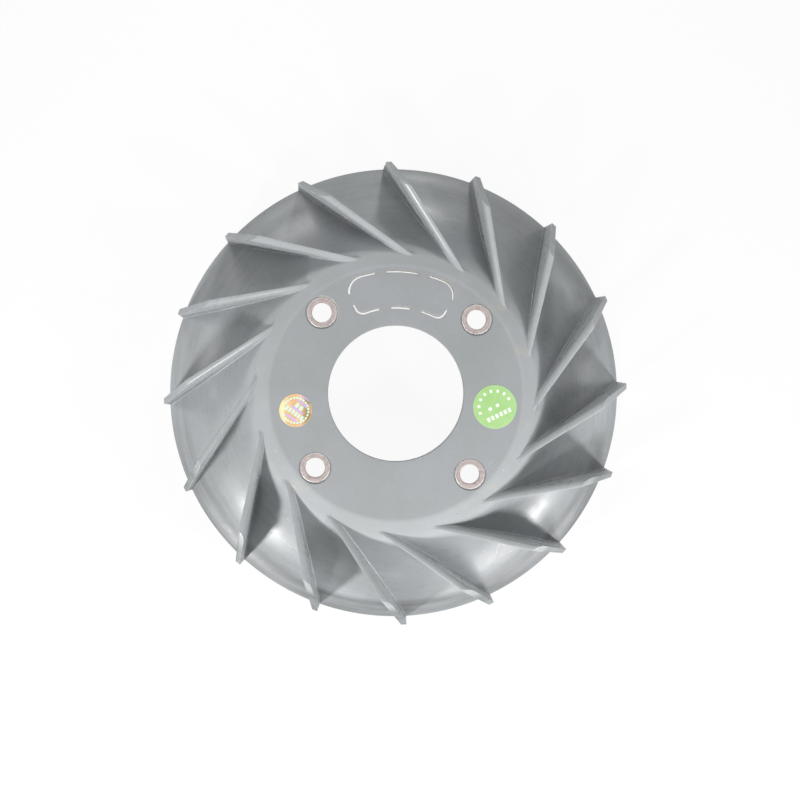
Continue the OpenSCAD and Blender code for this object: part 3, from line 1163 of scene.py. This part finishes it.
def plasticColour(tree, p, at):
    # clouds, fine grain and rings, a darker lip, painted shade on the band and the hub, a cream cast, and
    # painted light on the slit walls
    r, full, zones = at["r"], at["full"], p["zones"]
    tone = addSum(
        tree,
        addProduct(tree, addLookNoise(tree, p, "clouds", full), 0.9),
        addProduct(tree, addLookNoise(tree, p, "grain", full), 0.5),
        addProduct(tree, at["ringSwing"], addProduct(tree, at["shell"], 0.6)),
    )
    colour = addTint(tree, addStep(tree, tone, 0.35, 1.05), p["dark"], p["light"])
    # the lip grows darker towards the bottom of the fan
    lipDarkness = addStep(tree, at["north"], 0.05, -0.55, p["lipShade"], p["lipShade"] + p["lipLowerDarkening"])
    # a darker lip, and painted shade on the band and the hub's flat face
    shade = addSum(
        tree,
        addProduct(tree, at["lip"], lipDarkness, addStep(tree, at["ringTone"], 0.25, 0.75, 1.3, 0.75)),
        addStep(tree, r, *zones["hub"], 0.0, p["bandPaintedShade"]),
        addStep(tree, r, *zones["face"], 0.0, p["hubPaintedShade"]),
    )
    colour = addTint(tree, shade, colour, (0.0, 0.0, 0.0))
    creamSpots = addStep(tree, addLookNoise(tree, p, "cream", full), 0.55, 0.75, 0.0, 0.28)
    band = addProduct(tree, addStep(tree, r, *zones["bandFrom"]), addStep(tree, r, *zones["bandTo"]))
    colour = addTint(tree, addProduct(tree, creamSpots, band), colour, p["cream"])
    # the slits lie in the upper part of the hub
    slitZone = addProduct(
        tree,
        addStep(tree, r, *zones["slitFrom"]),
        addStep(tree, r, *zones["slitTo"]),
        addStep(tree, at["north"], 0.77, 0.80),
    )
    # painted light: the steep walls of the slits are coloured pale cream for the light that shows through
    # them
    steep = addStep(tree, at["upright"], 0.6, 0.2)
    return addTint(tree, addProduct(tree, steep, slitZone), colour, p["slitEdge"])


def plasticWear(tree, p, at):
    # scuffs and hair scratches, and the hairs alone
    marks = addProduct(tree, addStrokes(tree, at["flat"], p["scuffs"]), at["front"])
    rubbed = addStrokes(tree, at["flat"], p["rubbed"])
    hairs = addSum(tree, *[addHairs(tree, at["full"], *kind) for kind in p["hairs"]])
    hairShare = addSum(tree, addProduct(tree, rubbed, 0.8), 0.16)
    scratched = addProduct(tree, hairShare, hairs, at["front"])
    ragged = addStep(tree, addLookNoise(tree, p, "ragged", at["full"]), 0.30, 0.56)
    marks = addProduct(tree, marks, ragged)
    return addMath(tree, "ADD", marks, addProduct(tree, scratched, 0.45), clamp=True), hairs


def plasticDirt(tree, p, at):
    pits = addProduct(tree, addStrokes(tree, at["flat"], p["pits"]), at["front"])
    specks = addStep(tree, addLookNoise(tree, p, "specks", at["full"]), 0.83, 0.90, 0.0, 0.5)
    return addHighest(tree, pits, addProduct(tree, specks, at["front"]))


def plasticGloss(tree, p, at, worn):
    # roughness, broken by rings, handling marks and scuffs
    smear = addLookNoise(tree, p, "smear", at["full"])
    return addSum(
        tree,
        addStep(tree, smear, 0.3, 0.7, p["roughness"] - 0.035, p["roughness"] + 0.05),
        addProduct(tree, at["ringSwing"], addProduct(tree, at["shell"], 0.16)),
        addProduct(tree, at["lip"], 0.12),
        addStep(tree, at["r"], *p["zones"]["dull"], 0.0, p["hubDull"]),
        addProduct(tree, worn, 0.16),
    )


def plasticRelief(tree, p, at, hairs):
    # mould polish in rings on the shell, pebble and scratches
    height = addSum(
        tree,
        addProduct(tree, addLookNoise(tree, p, "polish", at["rings"]), at["shell"], 0.45),
        addProduct(tree, addLookNoise(tree, p, "pebble", at["full"]), 0.5),
        addProduct(tree, hairs, -0.25),
    )
    # steep faces were drawn out of the mould and are smoother
    return addProduct(tree, height, addStep(tree, at["upright"], 0.05, 0.4, 0.25, 1.0))


def makePlastic(p):
    mat, tree, shader = newMaterial("greyPlastic")
    at = plasticPlaces(tree, p)
    colour = plasticColour(tree, p, at)
    worn, hairs = plasticWear(tree, p, at)
    colour = addTint(tree, worn, colour, p["worn"])
    colour = addTint(tree, plasticDirt(tree, p, at), colour, p["dirt"])
    rough = plasticGloss(tree, p, at, worn)
    finishShader(tree, shader, colour, rough, plasticRelief(tree, p, at, hairs), p["relief"])
    return mat


fan.data.materials.append(makePlastic(plasticLook))

steelLook = {
    "face": (0.41, 0.348, 0.333),  # pinkish tarnish
    "bright": (0.585, 0.55, 0.54),
    "stain": (0.24, 0.165, 0.14),
    "metal": 0.55,
    "roughness": 0.42,
    "relief": 0.00002,  # metres
    "edge": (6.1, 6.75),  # mm, where the face brightens towards its outer edge
    "hole": (5.2, 4.6),  # mm, where rust gathers towards the hole
    # each bush adds its number to the seeds
    "noises": {
        "lines": (3.2, 2.0, 0.6, 1.0),
        "mottle": (0.75, 4.0, 0.7, 2.0),
        "fine": (3.5, 2.0, 0.6, 6.0),
        "dots": (1.5, 1.0, 0.5, 9.0),
    },
}


def makeSteel(p, number):
    mat, tree, shader = newMaterial(f"tarnishedSteel{number + 1}")
    full, flat, r = placeInMm(tree, (*boltPlace(number), 0.0))
    # turning lines of the cut face
    rings = placeOnRings(tree, addVector(tree, "NORMALIZE", flat), r, 0.7)
    lines = addLookNoise(tree, p, "lines", rings, number)
    mottle = addLookNoise(tree, p, "mottle", full, number)
    fine = addLookNoise(tree, p, "fine", full, number)
    tone = addSum(tree, addProduct(tree, mottle, 0.7), addProduct(tree, lines, 0.3))
    colour = addTint(tree, addStep(tree, tone, 0.42, 0.68, 0.0, 0.55), p["face"], p["bright"])
    edge = addStep(tree, r, *p["edge"])
    colour = addTint(tree, addProduct(tree, edge, 0.6), colour, p["bright"])
    cloudy = addSum(tree, mottle, addProduct(tree, fine, 0.35))
    dots = addStep(tree, addLookNoise(tree, p, "dots", full, number), 0.68, 0.78, 0.0, 0.75)
    holeRust = addStep(tree, r, *p["hole"], 0.0, 0.25)
    for share in (addStep(tree, cloudy, 0.60, 0.48, 0.0, 0.4), dots, holeRust):
        colour = addTint(tree, share, colour, p["stain"])
    shader.inputs["Metallic"].default_value = p["metal"]
    smear = addStep(tree, mottle, 0.3, 0.7, p["roughness"] - 0.08, p["roughness"] + 0.12)
    rough = addSum(tree, smear, addProduct(tree, dots, 0.2))
    height = addSum(tree, lines, addProduct(tree, fine, 0.6), addProduct(tree, dots, -2.0))
    finishShader(tree, shader, colour, rough, height, p["relief"])
    return mat


for number, piece in enumerate(bushes):
    piece.data.materials.append(makeSteel(steelLook, number))


def labelPlace(tree, p):
    return placeInMm(tree, (*polar(p["radius"], p["angle"]), wheel["hubH"]))


def addDashes(tree, along, off, step, share, width, count, soft=0.06):
    # dashes along a line: along and off are the distances along it and from it
    turns = addSum(tree, addMath(tree, "DIVIDE", along, step), count / 2 + 100)
    part = addMath(tree, "ABSOLUTE", addMath(tree, "SUBTRACT", addMath(tree, "FRACT", turns), 0.5))
    dash = addStep(tree, part, share / 2 - soft, share / 2 + soft, 1.0, 0.0)
    line = addStep(tree, addMath(tree, "ABSOLUTE", off), width / 2 - soft, width / 2 + soft, 1.0, 0.0)
    half = count * step / 2
    inside = addStep(tree, addMath(tree, "ABSOLUTE", along), half - 0.01, half + 0.01, 1.0, 0.0)
    return addProduct(tree, dash, line, inside)


def addDashRing(tree, place, r, radius, middle, **dashes):
    # dashes round a circle, centred on the angle middle, step millimetres apart
    x, y, _ = addSplit(tree, addMapping(tree, place, (0, 0), math.radians(middle)))
    along = addProduct(tree, addMath(tree, "ARCTAN2", y, x), radius)
    return addDashes(tree, along, addMath(tree, "SUBTRACT", r, radius), **dashes)


def addDashRow(tree, place, middle, turn, **dashes):
    along, off, _ = addSplit(tree, addMapping(tree, place, middle, math.radians(turn)))
    return addDashes(tree, along, off, **dashes)


greenLook = {
    "film": (0.363, 0.615, 0.226),
    "pale": (0.43, 0.66, 0.295),
    "print": (0.86, 0.93, 0.84),
    "rim": (0.46, 0.68, 0.36),
    "rimFrom": (9.35, 9.85),  # mm from the middle
    "roughness": 0.58,
    "relief": 0.00001,  # metres
    "noises": {"cloud": (0.12, 3.0, 0.6, 1.0), "grain": (2.5, 2.0, 0.6, 2.0)},
    # plain marks in place of the print, in mm and degrees: two dots, a ring of dashes and a row of bars
    "dots": ((-2.4, -1.15, -1.9, -0.9, 2.0, 1.0), (0.9, 0.55, 1.4, 0.8, 2.0, 1.0)),
    "ring": {"radius": 7.3, "middle": 117, "step": 3.15, "share": 0.34, "width": 1.35, "count": 8},
    "bars": {"middle": (1.9, -3.7), "turn": 25.5, "step": 2.1, "share": 0.62, "width": 1.9, "count": 6},
}


def makeGreen(p):
    mat, tree, shader = newMaterial("greenFilm")
    full, flat, r = labelPlace(tree, label["green"])
    cloud = addLookNoise(tree, p, "cloud", full)
    grain = addLookNoise(tree, p, "grain", full)
    tone = addSum(tree, addProduct(tree, cloud, 0.7), addProduct(tree, grain, 0.3))
    colour = addTint(tree, addStep(tree, tone, 0.35, 0.65), p["film"], p["pale"])
    ring = addDashRing(tree, flat, r, **p["ring"])
    bars = addDashRow(tree, flat, **p["bars"])
    ink = addHighest(tree, addStrokes(tree, flat, p["dots"]), ring, bars)
    ink = addStep(tree, addSum(tree, ink, addProduct(tree, grain, 0.25)), 0.40, 0.62)
    colour = addTint(tree, ink, colour, p["print"])
    colour = addTint(tree, addStep(tree, r, *p["rimFrom"], 0.0, 0.7), colour, p["rim"])
    smear = addStep(tree, cloud, 0.3, 0.7, p["roughness"] - 0.05, p["roughness"] + 0.06)
    rough = addSum(tree, smear, addProduct(tree, ink, 0.06))
    height = addSum(tree, grain, addProduct(tree, ink, 0.9))
    finishShader(tree, shader, colour, rough, height, p["relief"])
    return mat


foilLook = {
    "tan": (0.74, 0.47, 0.24),
    "cream": (0.96, 0.80, 0.40),
    "brown": (0.30, 0.20, 0.08),
    "mint": (0.62, 0.97, 0.80),
    "lavender": (0.58, 0.45, 0.95),
    "pink": (0.88, 0.66, 0.52),
    "metal": 0.35,
    "rimFrom": (7.0, 7.4),  # mm from the middle
    "roughness": 0.42,
    "relief": 0.000015,  # metres
    "noises": {
        "wander": (0.45, 3.0, 0.65, 1.0),
        "crackle": (2.4, 3.0, 0.75, 2.0),
        "fine": (5.0, 1.0, 0.5, 3.0),
    },
    # plain marks in place of the print, in mm and degrees: a ring of dashes, two rows of bars and slants
    "ring": {"radius": 5.75, "middle": 0, "step": 1.5, "share": 0.66, "width": 0.75, "count": 24},
    "upper": {"middle": (1.6, 1.7), "turn": -36, "step": 2.2, "share": 0.62, "width": 2.1, "count": 2},
    "lower": {"middle": (-0.6, -1.1), "turn": -36, "step": 1.65, "share": 0.6, "width": 2.0, "count": 6},
    "slants": (
        (1.4, 4.6, 4.7, 1.8, 1.1, 1.0), (-1.2, 1.6, 2.8, -1.4, 1.1, 1.0),
        (-3.9, -1.9, 0.0, -4.9, 1.1, 1.0), (3.2, 6.5, 6.2, 4.4, 0.9, 1.0),
    ),
}


def makeFoil(p):
    mat, tree, shader = newMaterial("holographicFoil")
    full, flat, r = labelPlace(tree, label["foil"])
    x, y, _ = addSplit(tree, flat)
    wander = addLookNoise(tree, p, "wander", full)
    crackle = addLookNoise(tree, p, "crackle", full)
    fine = addLookNoise(tree, p, "fine", full)
    # tan in the middle, cream to the left and brown to the right
    sway = addProduct(tree, addMath(tree, "SUBTRACT", wander, 0.5), 1.1)
    side = addSum(tree, addProduct(tree, x, 0.13), sway)
    colour = addTint(tree, addStep(tree, side, -0.78, -0.42), p["cream"], p["tan"])
    colour = addTint(tree, addStep(tree, side, 0.28, 0.7, 0.0, 0.92), colour, p["brown"])
    # slanted pink bands, broken by fine crackle
    along = addSum(tree, addProduct(tree, x, 0.70), addProduct(tree, y, 0.52))
    swing = addSum(tree, addProduct(tree, along, 1.15), addProduct(tree, wander, 5.0))
    waves = addMath(tree, "SINE", swing)
    colour = addTint(tree, addStep(tree, waves, 0.35, 0.95, 0.0, 0.4), colour, p["pink"])
    colour = addTint(tree, addStep(tree, crackle, 0.54, 0.66, 0.0, 0.35), colour, p["cream"])
    right = addStep(tree, side, 0.1, 0.7, 0.15, 0.9)
    cracks = addProduct(tree, addStep(tree, crackle, 0.47, 0.38), right)
    colour = addTint(tree, cracks, colour, p["brown"])
    bars = addHighest(tree, addDashRow(tree, flat, **p["upper"]), addDashRow(tree, flat, **p["lower"]))
    marks = addHighest(tree, addDashRing(tree, flat, r, **p["ring"]), bars)
    marks = addProduct(tree, marks, addStep(tree, crackle, 0.30, 0.42, 0.55, 1.0))
    colour = addTint(tree, marks, colour, p["mint"])
    slants = addProduct(tree, addStrokes(tree, flat, p["slants"], True), addStep(tree, fine, 0.36, 0.5))
    colour = addTint(tree, slants, colour, p["lavender"])
    colour = addTint(tree, addStep(tree, r, *p["rimFrom"], 0.0, 0.3), colour, p["cream"])
    shader.inputs["Metallic"].default_value = p["metal"]
    rough = addStep(tree, crackle, 0.3, 0.7, p["roughness"] - 0.06, p["roughness"] + 0.12)
    height = addSum(tree, crackle, addProduct(tree, marks, 0.8))
    finishShader(tree, shader, colour, rough, height, p["relief"])
    return mat


foilLabel.data.materials.append(makeFoil(foilLook))
greenLabel.data.materials.append(makeGreen(greenLook))
print("materials made")


studio = {
    "floorSize": 4.0,  # metres
    "paper": (0.8, 0.8, 0.8),
    "paperRoughness": 0.9,
    "world": 0.1,  # strength of the room's own light
    "whiteShare": 0.93,  # part of the floor's look that is plain white
    "aim": (0, 0, 0.02),  # metres, the point that the boxes face
    # each soft box: direction and height in degrees, distance and size in metres, power in watts
    "boxes": {
        "lowerLeft": (225, 32, 0.515, 0.05, 1.8),
        "bottomLeft": (246, 30, 0.515, 0.06, 0.2),
        "bottomRight": (300, 30, 0.278, 0.06, 0.21),
        "lowerRight": (320, 30, 0.515, 0.06, 1.08),
        "right": (0, 30, 0.278, 0.06, 0.058),
        "upperRight": (33, 38, 0.3, 0.06, 0.06),
        "top": (82, 30, 0.515, 0.06, 0.5),
        "upperLeft": (120, 30, 0.278, 0.06, 0.1),
        "left": (168, 30, 0.278, 0.06, 0.085),
    },
}


def addSeen(tree):
    # 1 for what is seen straight, in a reflection or through glass, and 0 for the light it gives
    path = tree.nodes.new("ShaderNodeLightPath")
    kinds = ("Is Camera Ray", "Is Glossy Ray", "Is Transmission Ray")
    return addHighest(tree, *[path.outputs[kind] for kind in kinds])


def makeFloor(p):
    mesh = bpy.data.meshes.new("studioFloor")
    h = p["floorSize"] / 2
    mesh.from_pydata([(-h, -h, 0), (h, -h, 0), (h, h, 0), (-h, h, 0)], [], [(0, 1, 2, 3)])
    obj = addObject("studioFloor", mesh)
    mat, tree, shader = newMaterial("whiteFloor")
    shader.inputs["Base Color"].default_value = (*p["paper"], 1)
    shader.inputs["Roughness"].default_value = p["paperRoughness"]
    # seen, it is white paper lit evenly, and keeps a part of the shadow
    glow = tree.nodes.new("ShaderNodeEmission")
    glow.inputs["Color"].default_value = (1, 1, 1, 1)
    glow.inputs["Strength"].default_value = 1.0
    mix = tree.nodes.new("ShaderNodeMixShader")
    out = next(n for n in tree.nodes if n.type == "OUTPUT_MATERIAL")
    tree.links.new(addProduct(tree, addSeen(tree), p["whiteShare"]), mix.inputs["Fac"])
    tree.links.new(shader.outputs[0], mix.inputs[1])
    tree.links.new(glow.outputs[0], mix.inputs[2])
    tree.links.new(mix.outputs[0], out.inputs["Surface"])
    mesh.materials.append(mat)


def addSoftBox(name, aim, azimuth, elevation, distance, size, power):
    data = bpy.data.lights.new(name, "AREA")
    data.shape = "RECTANGLE"
    data.size = data.size_y = size
    data.energy = power
    obj = addObject(name, data)
    away = Vector((*[c * cosD(elevation) for c in polar(1.0, azimuth)], sinD(elevation)))
    obj.location = Vector(aim) + away * distance
    obj.rotation_mode = "QUATERNION"
    obj.rotation_quaternion = away.to_track_quat("Z", "Y")


def makeRoom(p):
    # the room gives a little light, and seen it is as white as the floor
    world = bpy.data.worlds.new("studioWorld")
    scene.world = world
    world.use_nodes = True
    tree = world.node_tree
    room = tree.nodes["Background"]
    room.inputs["Color"].default_value = (1, 1, 1, 1)
    tree.links.new(addStep(tree, addSeen(tree), 0.0, 1.0, p["world"], 1.0), room.inputs["Strength"])


makeFloor(studio)
for name, box in studio["boxes"].items():
    addSoftBox(name, studio["aim"], *box)
makeRoom(studio)
scene.view_settings.view_transform = "Standard"
print("floor and lights placed")

bpy.context.view_layer.update()
